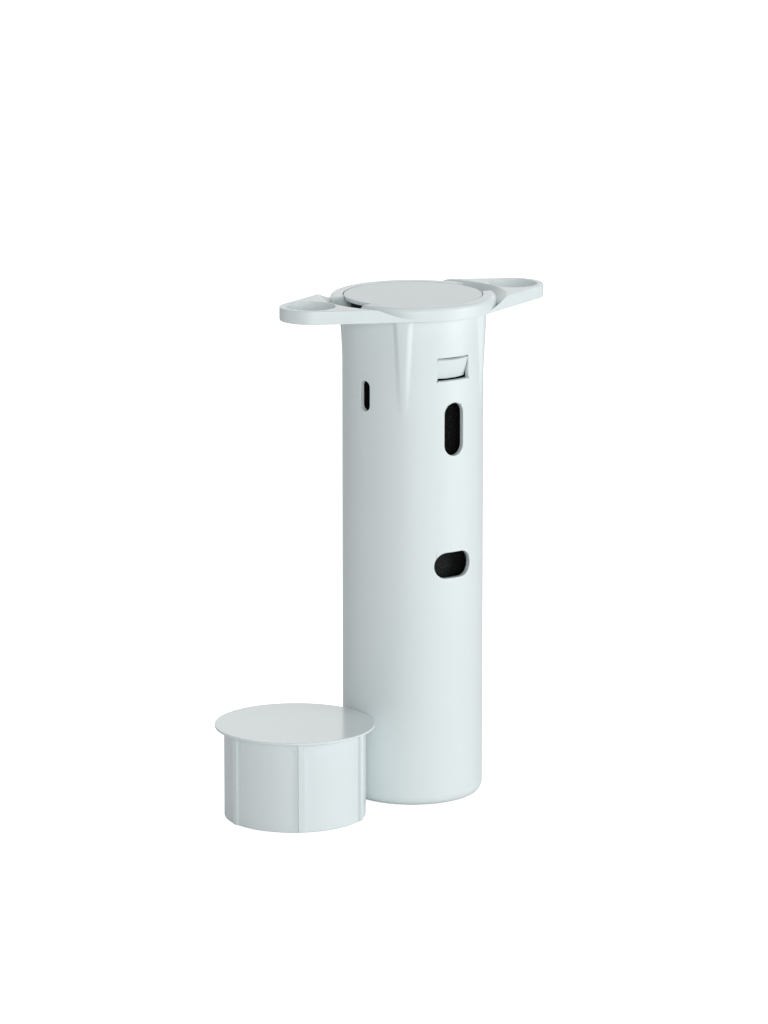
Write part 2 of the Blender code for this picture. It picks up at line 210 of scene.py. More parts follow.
# %% Turned shapes and rounded corners
def turned(name, rings, sides=SIDES):
    """A closed round solid through rings (radius, height), from its first flat face to its last."""
    put_down()
    (radius, height), *others = rings
    bpy.ops.mesh.primitive_circle_add(vertices=sides, radius=radius, fill_type="NGON", location=(0, 0, height))
    piece = named(name)
    bpy.ops.object.mode_set(mode="EDIT")
    bpy.ops.mesh.select_mode(type="FACE")
    bpy.ops.mesh.select_all(action="SELECT")
    for next_radius, next_height in others:
        bpy.ops.mesh.extrude_region_move(TRANSFORM_OT_translate={"value": (0, 0, next_height - height)})
        growth = next_radius / radius
        bpy.ops.transform.resize(value=(growth, growth, 1), center_override=(0, 0, next_height))
        radius, height = next_radius, next_height
    bpy.ops.mesh.select_all(action="SELECT")
    bpy.ops.mesh.normals_make_consistent(inside=False)
    bpy.ops.object.mode_set(mode="OBJECT")
    return piece


def round_ring(piece, radius, height, width, steps):
    """Rounds the corner that runs round the piece at this radius and height."""
    open_mesh(piece, "EDGE")
    on_ring = lambda vert: abs(vert.co.xy.length - radius) < TINY and abs(vert.co.z - height) < TINY
    found = choose(piece, "edges", lambda edge: all(on_ring(vert) for vert in edge.verts))
    bpy.ops.mesh.bevel(offset=width, segments=steps, profile=0.5, affect="EDGES", clamp_overlap=False)
    bpy.ops.object.mode_set(mode="OBJECT")
    return found


def round_sharp(piece, width, steps, place, angle=45.0):
    """Rounds the sharp edges for which place(middle of the edge) is true."""
    open_mesh(piece, "EDGE")
    limit = math.radians(angle)

    def wanted(edge):
        return edge.is_manifold and edge.calc_face_angle(0) > limit and place(*(v.co for v in edge.verts))

    found = choose(piece, "edges", wanted)
    bpy.ops.mesh.bevel(offset=width, segments=steps, profile=0.5, affect="EDGES", clamp_overlap=False)
    bpy.ops.object.mode_set(mode="OBJECT")
    return found


def even_shading(piece, walls=(), middle=(0.0, 0.0), angle=38.0):
    """Smooth shading led by the large faces, and exactly round on the upright walls of these radii."""
    pick_up(piece)
    bpy.ops.object.shade_smooth_by_angle(angle=math.radians(angle))
    apply_step(piece, "WEIGHTED_NORMAL", mode="FACE_AREA", weight=50, keep_sharp=True)
    mesh = piece.data
    normals = [corner.vector.copy() for corner in mesh.corner_normals]
    axis = Vector(middle)
    for face in mesh.polygons:
        places = [mesh.vertices[index].co for index in face.vertices]
        on_wall = any(
            all(abs((co.xy - axis).length - radius) < 0.03 * MM for co in places) for radius in walls
        )
        if on_wall and abs(face.normal.z) < 0.02:
            side = 1 if face.normal.xy.dot(face.center.xy - axis) > 0 else -1
            for loop_index, co in zip(face.loop_indices, places):
                away = (co.xy - axis).normalized() * side
                normals[loop_index] = Vector((away.x, away.y, 0))
    mesh.normals_split_custom_set(normals)
    return told(piece)


# %% [markdown]
# The tube's core is a solid bar at first. Joining the flange to a bar and drilling the bore afterwards
# leaves no thin overlaps inside the wall. Rings every few millimetres keep the faces round the openings
# small, so that the shading stays calm there.

# %% The tube's core
core_top = FLANGE_HEIGHT + 0.6 * WEB
GUSSET_LENGTH = 50.0 * MM
gusset_foot = FLANGE_HEIGHT - GUSSET_LENGTH
levels = [7 * MM * n for n in range(2, int(gusset_foot / (7 * MM)) + 1)]
levels += [gusset_foot + GUSSET_LENGTH * n / 32 for n in range(33)]
rings = [(TUBE_RADIUS, 0.0)] + [(TUBE_RADIUS, level) for level in levels] + [(TUBE_RADIUS, core_top)]
case = turned("case_shell", rings)
round_ring(case, TUBE_RADIUS, 0.0, BASE_FILLET, 10)
FACET_TURN = math.radians(0.2)  # keeps the upright joints between facets clear of the slots' sides
case.rotation_euler.z = FACET_TURN
pick_up(case)
bpy.ops.object.transform_apply(location=True, rotation=True, scale=True)
told(case)

# %% [markdown]
# Four gussets stiffen the corner between the tube and the flange. Each is a low rib with a flat crest and
# two narrow flanks. It is widest under the flange, and it narrows and sinks into the wall as it runs
# down. A moulded rib has no sharp line where it meets the wall, so it isn't a separate solid here: the
# wall's own points are pushed outwards.

# %% Gussets
GUSSET_ANGLES = (49.0, 131.0, 229.0, 311.0)
GUSSET_PROUD = 2.2 * MM
GUSSET_TOP, GUSSET_FOOT = 5.2 * MM, 2.7 * MM  # half widths
FLANK = 2.4 * MM


def gusset_push(co):
    """How far a point of the wall is pushed outwards."""
    rise = min((co.z - gusset_foot) / GUSSET_LENGTH, 1.0)
    if rise <= 0:
        return 0.0
    half_width = GUSSET_FOOT + (GUSSET_TOP - GUSSET_FOOT) * rise
    around = math.degrees(math.atan2(co.y, co.x))
    off = min(abs((around - turn + 180) % 360 - 180) for turn in GUSSET_ANGLES)
    up_flank = min((half_width - math.radians(off) * TUBE_RADIUS) / FLANK, 1.0)
    if up_flank <= 0:
        return 0.0
    return GUSSET_PROUD * rise * (1 - math.cos(math.pi * up_flank)) / 2


pushed = 0
for vert in case.data.vertices:
    push = gusset_push(vert.co)
    if push and vert.co.xy.length > TUBE_RADIUS - TINY:
        away = vert.co.xy.normalized() * push
        vert.co.x += away.x
        vert.co.y += away.y
        pushed += 1
print(f"{pushed} points of the wall make the gussets")
told(case)

# %% [markdown]
# The flange's plate is the skin stretched round three discs: the rim's and one for each ear. The convex
# hull operator stretches it. A bevel takes the sharpness off its edges, and a cone-shaped cutter leaves
# the thin web with its sloping ground between the ears and the rim.

# %% Ear plate
WEB_RADIUS = RIM_RADIUS - 0.3 * MM
WEB_TOP = FLANGE_HEIGHT + WEB


def stretched_round(name, discs, depth, middle_z):
    """The solid that a skin makes round several discs (x, y, radius, sides)."""
    put_down()
    made = []
    for x, y, radius, sides in discs:
        bpy.ops.mesh.primitive_cylinder_add(
            vertices=sides, radius=radius, depth=depth, location=(x, y, middle_z)
        )
        made.append(bpy.context.object)
    for disc in made:
        disc.select_set(True)
    bpy.ops.object.join()
    piece = named(name)
    bpy.ops.object.mode_set(mode="EDIT")
    bpy.ops.mesh.select_all(action="SELECT")
    bpy.ops.mesh.convex_hull(use_existing_faces=False)
    bpy.ops.mesh.select_all(action="SELECT")
    bpy.ops.mesh.dissolve_limited(angle_limit=math.radians(0.5))
    bpy.ops.mesh.select_all(action="SELECT")
    bpy.ops.mesh.normals_make_consistent(inside=False)
    bpy.ops.object.mode_set(mode="OBJECT")
    return piece


ear_discs = [(side * EAR_REACH, 0.0, EAR_RADIUS, 128) for side in (-1, 1)]
plate = stretched_round(
    "ear_plate", [(0.0, 0.0, WEB_RADIUS, SIDES)] + ear_discs, EAR_HEIGHT, FLANGE_HEIGHT + EAR_HEIGHT / 2
)
apply_step(plate, "BEVEL", width=0.6 * MM, segments=4, limit_method="ANGLE", angle_limit=math.radians(40))
slope = (GROOVE_TOP - WEB_RADIUS) / (EAR_HEIGHT - WEB)
groove_top = FLANGE_HEIGHT + EAR_HEIGHT + PAST
groove = turned("groove", [(WEB_RADIUS, WEB_TOP), (GROOVE_TOP + slope * PAST, groove_top)])
cut_away(plate, groove)
told(plate)

# %% [markdown]
# The rim stands on the web. Beside each ear it is open for the width of a blade, so that the lid can be
# prised up. It is a solid disc here, because the bore is drilled through everything later.

# %% Raised rim with its two notches
RIM_FILLET = 2.4 * MM
rim_foot = FLANGE_HEIGHT + 0.3 * MM
rim = turned("rim", [(RIM_RADIUS, rim_foot), (RIM_RADIUS, RIM_TOP)])
round_ring(rim, RIM_RADIUS, RIM_TOP, RIM_FILLET, 8)


def block(name, low, high):
    """A box between two corners."""
    low, high = Vector(low), Vector(high)
    put_down()
    bpy.ops.mesh.primitive_cube_add(size=1.0, location=(low + high) / 2, scale=high - low)
    return named(name)


for side in (-1, 1):
    reach = sorted((side * (BORE_RADIUS - 12 * MM), side * (RIM_RADIUS + PAST)))
    cut_away(rim, block(
        "notch",
        (reach[0], -NOTCH_WIDTH / 2, rim_foot - PAST),
        (reach[1], NOTCH_WIDTH / 2, RIM_TOP + PAST),
    ))
told(rim)

# %% Join the flange to the tube
join_solid(case, plate)
join_solid(case, rim)
told(case)

# %% [markdown]
# Now the bar is drilled: the bore with its rounded floor, the wider seat of the lid, and the ears' holes.

# %% Bore, lid seat and ear holes
bore = turned(
    "bore",
    [
        (BORE_RADIUS, FLOOR),
        (BORE_RADIUS, LEDGE_HEIGHT),
        (LEDGE_RADIUS, LEDGE_HEIGHT),
        (LEDGE_RADIUS, RIM_TOP - 0.25 * MM),
        (LEDGE_RADIUS + 0.07 * MM, RIM_TOP - 0.07 * MM),
        (LEDGE_RADIUS + 0.25 * MM, RIM_TOP),
        (LEDGE_RADIUS + 0.25 * MM, RIM_TOP + PAST),
    ],
)
round_ring(bore, BORE_RADIUS, FLOOR, BASE_FILLET - 2.5 * MM, 6)
cut_away(case, bore)
for side in (-1, 1):
    put_down()
    bpy.ops.mesh.primitive_cylinder_add(
        vertices=128, radius=EAR_HOLE, depth=EAR_HEIGHT + 2 * PAST,
        location=(side * EAR_REACH, 0, FLANGE_HEIGHT + EAR_HEIGHT / 2),
    )
    cut_away(case, named("ear_hole"))
told(case)

# %% [markdown]
# Three rounded slots and a square window go through the wall. Each cutter is shaped flat on the ground,
# stood up against the tube, and turned to its place.

# %% Slots and window
def through_wall(name, opening):
    below, width, height, turn = opening
    depth = 2.5 * MM + 2 * PAST
    if name == "window":
        cutter = block(name, (-width / 2, -height / 2, 0), (width / 2, height / 2, depth))
    else:
        radius = min(width, height) / 2
        along = max(width, height) / 2 - radius
        ends = [(along, 0.0), (-along, 0.0)] if width > height else [(0.0, along), (0.0, -along)]
        cutter = stretched_round(name, [(x, y, radius, 64) for x, y in ends], depth, depth / 2)
    to_wall = Matrix.Translation((0, PAST - BORE_RADIUS, FLANGE_HEIGHT - below))
    stood_up = to_wall @ Matrix.Rotation(math.pi / 2, 4, "X")
    cutter.matrix_world = Matrix.Rotation(math.radians(turn), 4, "Z") @ stood_up
    return cutter


cut_away(case, through_wall("window", TAB_WINDOW))
for opening in (TALL_SLOT, WIDE_SLOT, SIDE_SLOT):
    cut_away(case, through_wall("slot", opening))
open_mesh(case)
bpy.ops.mesh.select_all(action="SELECT")
bpy.ops.mesh.remove_doubles(threshold=0.002 * MM)
bpy.ops.object.mode_set(mode="OBJECT")
told(case)

# %% [markdown]
# A mould never leaves a knife edge. The rims of the openings, the ear holes and the ends of the notches
# get a small round, chosen by where they lie.

# %% Soften the edges
def on_wall(radius):
    """A test for edges of the openings that lie on the tube's outer face."""
    def place(a, b):
        below_flange = all(20 * MM < co.z < FLANGE_HEIGHT - 10 * MM for co in (a, b))
        return below_flange and all(abs(co.xy.length - radius) < 0.05 * MM for co in (a, b))
    return place


def on_ear_hole(a, b):
    return all(abs(Vector((abs(co.x) - EAR_REACH, co.y)).length - EAR_HOLE) < TINY for co in (a, b))


def on_notch_end(a, b):
    at_end = all(
        abs(abs(co.y) - NOTCH_WIDTH / 2) < TINY and LEDGE_RADIUS - TINY < co.xy.length for co in (a, b)
    )
    return at_end and min(a.z, b.z) > WEB_TOP - TINY and max(a.z, b.z) > WEB_TOP + MM


print("wall outside", round_sharp(case, 0.32 * MM, 3, on_wall(TUBE_RADIUS)))
print("ear holes", round_sharp(case, 0.45 * MM, 3, on_ear_hole))
print("notch ends", round_sharp(case, 0.14 * MM, 2, on_notch_end))
even_shading(case, walls=(TUBE_RADIUS, BORE_RADIUS, LEDGE_RADIUS))

# %% [markdown]
# The snap tab is a piece of the tube's own wall, cut free on three sides and bent inwards about its upper
# edge. So it starts as a sector of the same cylinder: the other faces are deleted, the sheet is thickened
# inwards, and the whole tab is tilted about the line where it joins the wall.

# %% Snap tab
below, width, height, turn = TAB_WINDOW
TAB_THICKNESS = 2.0 * MM
TAB_TILT = 20.0
tab_top = FLANGE_HEIGHT - below + height / 2 - 0.6 * MM
tab_bottom = FLANGE_HEIGHT - below - height / 2 + 0.6 * MM
half_angle = math.asin((width / 2 - 0.4 * MM) / TUBE_RADIUS)
TAB_FACETS = 24

put_down()
facets_round = round(math.pi / half_angle) * TAB_FACETS
bpy.ops.mesh.primitive_cylinder_add(
    vertices=facets_round, radius=TUBE_RADIUS, depth=tab_top - tab_bottom, end_fill_type="NOTHING",
    location=(0, 0, (tab_top + tab_bottom) / 2),
)
tab = named("window_tab")
open_mesh(tab, "FACE")


def beside_tab(face):
    """Whether a face of the cylinder lies to the left or right of the tab."""
    middle = face.calc_center_median()
    return abs(math.atan2(middle.x, -middle.y)) > half_angle


choose(tab, "faces", beside_tab)
bpy.ops.mesh.delete(type="FACE")
bpy.ops.mesh.select_all(action="SELECT")
bpy.ops.mesh.normals_make_consistent(inside=False)
bpy.ops.object.mode_set(mode="OBJECT")
outward = sum((face.normal.y for face in tab.data.polygons)) < 0
apply_step(tab, "SOLIDIFY", thickness=TAB_THICKNESS, offset=-1.0 if outward else 1.0, use_even_offset=True)
round_sharp(tab, 0.22 * MM, 3, lambda a, b: True, angle=60)
hinge = Vector((0, TAB_THICKNESS - TUBE_RADIUS, tab_top))
tab_turn = Matrix.Rotation(math.radians(TAB_TILT), 4, "X")
lean = Matrix.Translation(hinge) @ tab_turn @ Matrix.Translation(-hinge)
tab.matrix_world = Matrix.Rotation(math.radians(turn), 4, "Z") @ lean
pick_up(tab)
bpy.ops.object.transform_apply(location=True, rotation=True, scale=True)
even_shading(tab)

# %% [markdown]
# The lid is a thin disc. Its skirt plugs the bore and is open at both notches, where a blade goes in. It
# is drawn up from its own underside: down the inner face of the skirt, out, up again, and over the top.

# %% Press-in lid
SKIRT_OUTER = BORE_RADIUS - 0.3 * MM
SKIRT_INNER = SKIRT_OUTER - 1.5 * MM
skirt_foot = LID_UNDERSIDE - 7.0 * MM
lid = turned(
    "press_in_lid",
    [
        (SKIRT_INNER, LID_UNDERSIDE),
        (SKIRT_INNER, skirt_foot),
        (SKIRT_OUTER, skirt_foot),
        (SKIRT_OUTER, LID_UNDERSIDE),
        (LID_RADIUS, LID_UNDERSIDE),
        (LID_RADIUS, LID_TOP),
    ],
)
round_ring(lid, LID_RADIUS, LID_TOP, 0.45 * MM, 5)
round_ring(lid, LID_RADIUS, LID_UNDERSIDE, 0.2 * MM, 2)
round_ring(lid, SKIRT_OUTER, skirt_foot, 0.6 * MM, 4)
round_ring(lid, SKIRT_INNER, skirt_foot, 0.25 * MM, 2)
for side in (-1, 1):
    reach = sorted((side * (SKIRT_INNER - 12 * MM), side * (SKIRT_OUTER + 0.2 * MM)))
    low = (reach[0], -NOTCH_WIDTH / 2, skirt_foot - PAST)
    cut_away(lid, block("skirt_gap", low, (reach[1], NOTCH_WIDTH / 2, LID_UNDERSIDE)))


def at_gap_end(a, b):
    """Whether an edge is one of the uprights where the skirt stops at a notch."""
    on_side = all(abs(abs(co.y) - NOTCH_WIDTH / 2) < TINY for co in (a, b))
    return on_side and abs(a.z - b.z) > MM


print("gap ends", round_sharp(lid, 0.3 * MM, 2, at_gap_end))
even_shading(lid)

# %% [markdown]
# The loose cap is turned too, inside and outside in one go: up the hollow that is open below, over its
# rounded corner, and back over the flat top with its thin lip. So the path starts in the middle of the
# ceiling and ends in the middle of the top. Six ribs are modelled as one rounded bar that is copied round
# it. A small round gate mark is left where the plastic flowed in.

# %% Ribbed cap
CAP_HEIGHT = cap_high.z
CAP_LIP = (cap_high.x - cap_low.x) / 2
CAP_RADIUS = CAP_LIP - 4.6 * MM
CAP_WALL = 2.0 * MM
LIP_THICKNESS, LIP_FLARE = 1.2 * MM, 1.6 * MM
RIB_PROUD, RIB_WIDTH, RIBS, RIB_TURN = 1.3 * MM, 3.0 * MM, 6, -116.8
cap_middle = Vector(((cap_low.x + cap_high.x) / 2, (cap_low.y + cap_high.y) / 2, 0))
lip_under = CAP_HEIGHT - LIP_THICKNESS
cap_inner = CAP_RADIUS - CAP_WALL
cap_ceiling = CAP_HEIGHT - CAP_WALL
cap = turned(
    "loose_cap",
    [
        (cap_inner, cap_ceiling),
        (cap_inner, 0.0),
        (CAP_RADIUS, 0.0),
        (CAP_RADIUS, CAP_HEIGHT * 0.33),
        (CAP_RADIUS, CAP_HEIGHT * 0.66),
        (CAP_RADIUS, lip_under),
        (CAP_LIP, lip_under),
        (CAP_LIP, CAP_HEIGHT),
    ],
)
round_ring(cap, cap_inner, cap_ceiling, 1.6 * MM, 5)
round_ring(cap, cap_inner, 0.0, 0.25 * MM, 2)
round_ring(cap, CAP_LIP, CAP_HEIGHT, 0.40 * MM, 4)
round_ring(cap, CAP_LIP, lip_under, 0.35 * MM, 3)
round_ring(cap, CAP_RADIUS, lip_under, LIP_FLARE, 6)
round_ring(cap, CAP_RADIUS, 0.0, 0.7 * MM, 5)


def cap_rib(turn):
    """One rib, sunk in the wall, from just above the foot to inside the lip."""
    bar = block(
        "rib",
        (CAP_RADIUS - CAP_WALL / 2, -RIB_WIDTH / 2, 0.4 * MM),
        (CAP_RADIUS + RIB_PROUD, RIB_WIDTH / 2, lip_under + 0.5 * MM),
    )
    outer = lambda a, b: min(a.x, b.x) > CAP_RADIUS and max(a.z, b.z) < lip_under
    round_sharp(bar, 0.55 * MM, 4, outer)
    bar.rotation_euler.z = math.radians(turn)
    return bar


for number in range(RIBS):
    join_solid(cap, cap_rib(RIB_TURN + number * 360 / RIBS))
put_down()
gate_turn = math.radians(-123.0)
GATE_RADIUS = 0.8 * MM
GATE_SUNK = 0.45 * MM
GATE_HEIGHT = 41.5 * MM
bpy.ops.mesh.primitive_uv_sphere_add(
    segments=20, ring_count=12, radius=GATE_RADIUS, location=(CAP_RADIUS - GATE_SUNK, 0, GATE_HEIGHT)
)
gate = named("gate_mark")
gate.rotation_euler.z = gate_turn
join_solid(cap, gate)
cap.location = cap_middle
pick_up(cap)
bpy.ops.object.transform_apply(location=True, rotation=True, scale=True)
even_shading(cap, walls=(CAP_RADIUS, cap_inner), middle=cap_middle.xy)

# %% [markdown]
# The blanket is a square of glass-fibre cloth, 1.1 m on each side. It is folded like a fan into five
# layers, each 220 mm wide, and the strip is rolled up. The roll is one sheet here too: its points follow
# the five layers across, and the spiral along. A simulation would need a minute to roll a sheet this
# tightly and could only end in the same spiral, so the points are computed, with small waves that keep it
# from looking machined.

# %% The path across the folded strip
CLOTH = 1.1
CLOTH_THICKNESS = 0.36 * MM
LAYERS = 5
CORE_RADIUS = 3.2 * MM
OUTER_RADIUS = roll_high.x - 0.95 * MM
ROLL_TURNS = CLOTH / (math.pi * (CORE_RADIUS + OUTER_RADIUS))
PITCH = (OUTER_RADIUS - CORE_RADIUS) / (ROLL_TURNS + (LAYERS - 1) / LAYERS)
LAYER_GAP = PITCH / LAYERS
cloth_foot = roll_low.z + 0.5 * MM
cloth_head = roll_high.z - 0.75 * MM


def across_strip(straight=6, bend=4):
    """Points (layer, height from 0 to 1, distance along the cloth) from the first hem to the last."""
    points = []
    fold = LAYER_GAP / 2
    side = cloth_head - cloth_foot - 2 * fold
    for layer in range(LAYERS):
        rising = layer % 2 == 0
        for step in range(straight + 1):
            part = step / straight
            points.append((layer, part if rising else 1 - part, 0.0, layer * CLOTH / LAYERS + part * side))
        if layer < LAYERS - 1:
            for step in range(1, bend):
                swing = math.pi * step / bend
                out = (1 - math.cos(swing)) / 2
                beyond = math.sin(swing) * fold * (1 if rising else -1)
                points.append(
                    (layer + out, 1.0 if rising else 0.0, beyond, layer * CLOTH / LAYERS + side + swing * fold)
                )
    return points


profile = across_strip()
print(f"{ROLL_TURNS:.2f} turns, layers {1000 * LAYER_GAP:.3f} mm apart, {len(profile)} points across")

# %% Roll the strip up
ROUND = 66  # points in one turn
START_TURN = math.radians(75.0)


def slack(turn, height):
    """Small waves that every layer shares, as a share of its radius."""
    swell = 0.004 * math.sin(2 * turn + 0.6) + 0.003 * math.sin(3 * turn + 7 * height)
    return 1 + swell * math.sin(math.pi * min(max(height, 0.03), 0.97)) ** 0.5


def cloth_point(wound, layer, part, beyond):
    """A point of the cloth where the strip has been wound this far, in turns."""
    turn = START_TURN + 2 * math.pi * wound
    radius = (CORE_RADIUS + PITCH * wound + LAYER_GAP * layer) * slack(turn, part)
    uneven = 0.22 * MM * math.sin(2.3 * turn) + 0.16 * MM * math.sin(5.1 * turn + layer)
    height = cloth_foot + LAYER_GAP / 2 + part * (cloth_head - cloth_foot - LAYER_GAP) + beyond
    height += uneven * (part - 0.5) * 2 - 0.3 * MM * (part - 0.5) * 2
    return Vector((radius * math.cos(turn), radius * math.sin(turn), height))


steps_along = round(ROLL_TURNS * ROUND)
cloth_points = []
cloth_places = []
run = 0.0
for step in range(steps_along + 1):
    wound = ROLL_TURNS * step / steps_along
    if step:
        run += 2 * math.pi * (CORE_RADIUS + PITCH * wound + 2 * LAYER_GAP) * ROLL_TURNS / steps_along
    for layer, part, beyond, along in profile:
        cloth_points.append(cloth_point(wound, layer, part, beyond))
        cloth_places.append((run, along))
wide = len(profile)
cloth_faces = [
    (a, a + 1, a + 1 + wide, a + wide)
    for row in range(steps_along) for a in range(row * wide, row * wide + wide - 1)
]
cloth_mesh = bpy.data.meshes.new("folded_blanket")
cloth_mesh.from_pydata(cloth_points, [], cloth_faces)
weave_map = cloth_mesh.uv_layers.new(name="weave")
for loop in cloth_mesh.loops:
    weave_map.data[loop.index].uv = cloth_places[loop.vertex_index]
blanket = bpy.data.objects.new("folded_blanket", cloth_mesh)
bpy.context.scene.collection.objects.link(blanket)
apply_step(blanket, "SOLIDIFY", thickness=CLOTH_THICKNESS, offset=0.0)
pick_up(blanket)
bpy.ops.object.shade_smooth_by_angle(angle=math.radians(50))
told(blanket)
print(f"strip wound {run:.3f} m long")

# %% [markdown]
# Every edge of the cloth is hemmed. The hem that shows is the outer end of the strip, a band folded over
# the edge and sewn down. It is a bent strip that lies on the last turn. Its stitches are short threads,
# made once and copied.

# %% Hem at the outer end
HEM_WIDTH = 12.0 * MM
HEM_THICKNESS = 0.3 * MM
THREAD = 0.22 * MM


def on_last_turn(back, part, lift):
    """A point this far back from the strip's end, on the outermost layer, raised by lift."""
    wound = ROLL_TURNS - back / (2 * math.pi * OUTER_RADIUS)
    point = cloth_point(wound, LAYERS - 1, part, 0.0)
    return point + Vector((point.x, point.y, 0)).normalized() * lift


put_down()
bpy.ops.mesh.primitive_grid_add(x_subdivisions=8, y_subdivisions=24, size=1.0)
hem = named("blanket_hem")
hem_uv = hem.data.uv_layers[0]
hem_uv.name = "weave"
for loop in hem.data.loops:
    co = hem.data.vertices[loop.vertex_index].co
    hem_uv.data[loop.index].uv = ((co.x + 0.5) * HEM_WIDTH, (co.y + 0.5) * CLOTH / LAYERS)
for vert in hem.data.vertices:
    back, part = (vert.co.x + 0.5) * HEM_WIDTH, (vert.co.y + 0.5) * 0.99 + 0.005
    vert.co = on_last_turn(back - 0.25 * MM, part, (CLOTH_THICKNESS + HEM_THICKNESS) / 2 + 0.01 * MM)
apply_step(hem, "SOLIDIFY", thickness=HEM_THICKNESS, offset=0.0)
apply_step(hem, "BEVEL", width=0.1 * MM, segments=2, limit_method="ANGLE", angle_limit=math.radians(60))
pick_up(hem)
bpy.ops.object.shade_smooth_by_angle(angle=math.radians(50))
told(hem)


# %% Stitches
def one_stitch(length, thickness=THREAD):
    """A short thread along X that dips at both ends, on the plane z = 0."""
    put_down()
    bpy.ops.mesh.primitive_cylinder_add(
        vertices=6, radius=thickness, depth=length, rotation=(0, math.pi / 2, 0)
    )
    stitch = named("stitch")
    open_mesh(stitch, "EDGE")
    choose(stitch, "edges", lambda edge: abs(edge.verts[0].co.x - edge.verts[1].co.x) > length / 2)
    bpy.ops.mesh.subdivide(number_cuts=3)
    bpy.ops.object.mode_set(mode="OBJECT")
    for vert in stitch.data.vertices:
        end = abs(2 * vert.co.x / length)
        vert.co.z -= 1.2 * thickness * end ** 3
        vert.co.y *= 1 - 0.35 * end ** 2
    return stitch


def sewn(name, seats, length, thickness=THREAD):
    """Stitches at several seats (middle, direction, outward), joined into one piece."""
    pattern = one_stitch(length, thickness)
    cage = bmesh.new()
    for middle, direction, outward in seats:
        along = direction.normalized()
        up = (outward - outward.dot(along) * along).normalized()
        frame_of = Matrix((along, up.cross(along), up)).transposed().to_4x4()
        part = bmesh.new()
        part.from_mesh(pattern.data)
        part.transform(Matrix.Translation(middle) @ frame_of)
        held = bpy.data.meshes.new("held")
        part.to_mesh(held)
        part.free()
        cage.from_mesh(held)
        bpy.data.meshes.remove(held)
    mesh = bpy.data.meshes.new(name)
    cage.to_mesh(mesh)
    cage.free()
    bpy.data.objects.remove(pattern)
    piece = bpy.data.objects.new(name, mesh)
    bpy.context.scene.collection.objects.link(piece)
    pick_up(piece)
    bpy.ops.object.shade_smooth_by_angle(angle=math.radians(60))
    return told(piece)


hem_lift = CLOTH_THICKNESS / 2 + HEM_THICKNESS + 0.01 * MM
hem_seats = []
for number in range(62):
    part = 0.02 + 0.96 * number / 61
    point = on_last_turn(HEM_WIDTH - 2.0 * MM, part, hem_lift)
    outward = Vector((point.x, point.y, 0)).normalized()
    hem_seats.append((point + outward * THREAD * 0.5, Vector((0, 0, 1)), outward))
hem_stitches = sewn("hem_stitches", hem_seats, 2.6 * MM)

# %% [markdown]
# Two webbing loops stand on the roll, under the lid. Each is one flat tape: it lies on the roll, rises,
# turns over and comes down again. A plane's edge is extruded along that path in edit mode, and the strip
# is then given its thickness and soft edges. The second loop is a mirror copy of the first.

# %% Path of a webbing loop
TAPE_WIDTH = tape_high.y - tape_low.y
TAPE_THICKNESS = 1.5 * MM
TAPE_BEND = 1.6 * MM
LOOP_RADIUS = 6.2 * MM
tape_middle = (tape_low.x + tape_high.x) / 2
tape_foot = tape_low.z + 0.8 * MM
tape_reach = (tape_high.x - tape_low.x) / 2
loop_centre = tape_high.z - 0.8 * MM - LOOP_RADIUS


def bow(centre_x, centre_z, radius, start, end, steps):
    """Points of an arc in the plane of the loop; angles in degrees from +X."""
    angles = [math.radians(start + (end - start) * step / steps) for step in range(steps + 1)]
    return [(centre_x + radius * math.cos(angle), centre_z + radius * math.sin(angle)) for angle in angles]


tape_heel = LOOP_RADIUS + TAPE_BEND + 0.6 * MM
half_path = [(tape_reach, tape_foot), ((tape_reach + tape_heel) / 2, tape_foot), (tape_heel, tape_foot)]
half_path += bow(LOOP_RADIUS + TAPE_BEND, tape_foot + TAPE_BEND, TAPE_BEND, 270, 180, 5)
half_path += bow(0.0, loop_centre, LOOP_RADIUS, 0, 90, 9)
tape_path = half_path + [(-x, z) for x, z in reversed(half_path[:-1])]
tape_run = [0.0]
for (x0, z0), (x1, z1) in zip(tape_path, tape_path[1:]):
    tape_run.append(tape_run[-1] + math.hypot(x1 - x0, z1 - z0))
print(f"a loop takes {1000 * tape_run[-1]:.0f} mm of tape")


# %% Webbing loops
def along_tape(co):
    """How far along the tape a point lies."""
    best = min(range(len(tape_path) - 1), key=lambda n: segment_gap(co, n)[0])
    return tape_run[best] + segment_gap(co, best)[1]


def segment_gap(co, number):
    (x0, z0), (x1, z1) = tape_path[number], tape_path[number + 1]
    run = math.hypot(x1 - x0, z1 - z0)
    part = ((co.x - x0) * (x1 - x0) + (co.z - z0) * (z1 - z0)) / run ** 2
    part = min(max(part, 0.0), 1.0)
    return math.hypot(co.x - x0 - part * (x1 - x0), co.z - z0 - part * (z1 - z0)), part * run


put_down()
(x0, z0), (x1, z1) = tape_path[0], tape_path[1]
bpy.ops.mesh.primitive_plane_add(size=1.0, location=((x0 + x1) / 2, 0, z0), scale=(1, 1, 1))
right_tape = bpy.context.object
right_tape.scale = (abs(x1 - x0), TAPE_WIDTH, 1)
right_tape = named("loop_tape_right")
open_mesh(right_tape, "EDGE")
choose(right_tape, "edges", lambda edge: all(abs(vert.co.x - x1) < TINY for vert in edge.verts))
for (x0, z0), (x1, z1) in zip(tape_path[1:], tape_path[2:]):
    bpy.ops.mesh.extrude_region_move(TRANSFORM_OT_translate={"value": (x1 - x0, 0, z1 - z0)})
bpy.ops.mesh.select_all(action="SELECT")
bpy.ops.mesh.normals_make_consistent(inside=False)
bpy.ops.mesh.select_all(action="DESELECT")
choose(right_tape, "edges", lambda edge: abs(edge.verts[0].co.y - edge.verts[1].co.y) > MM)
bpy.ops.mesh.subdivide(number_cuts=9)
bpy.ops.object.mode_set(mode="OBJECT")
apply_step(right_tape, "SOLIDIFY", thickness=TAPE_THICKNESS, offset=0.0, use_even_offset=True)
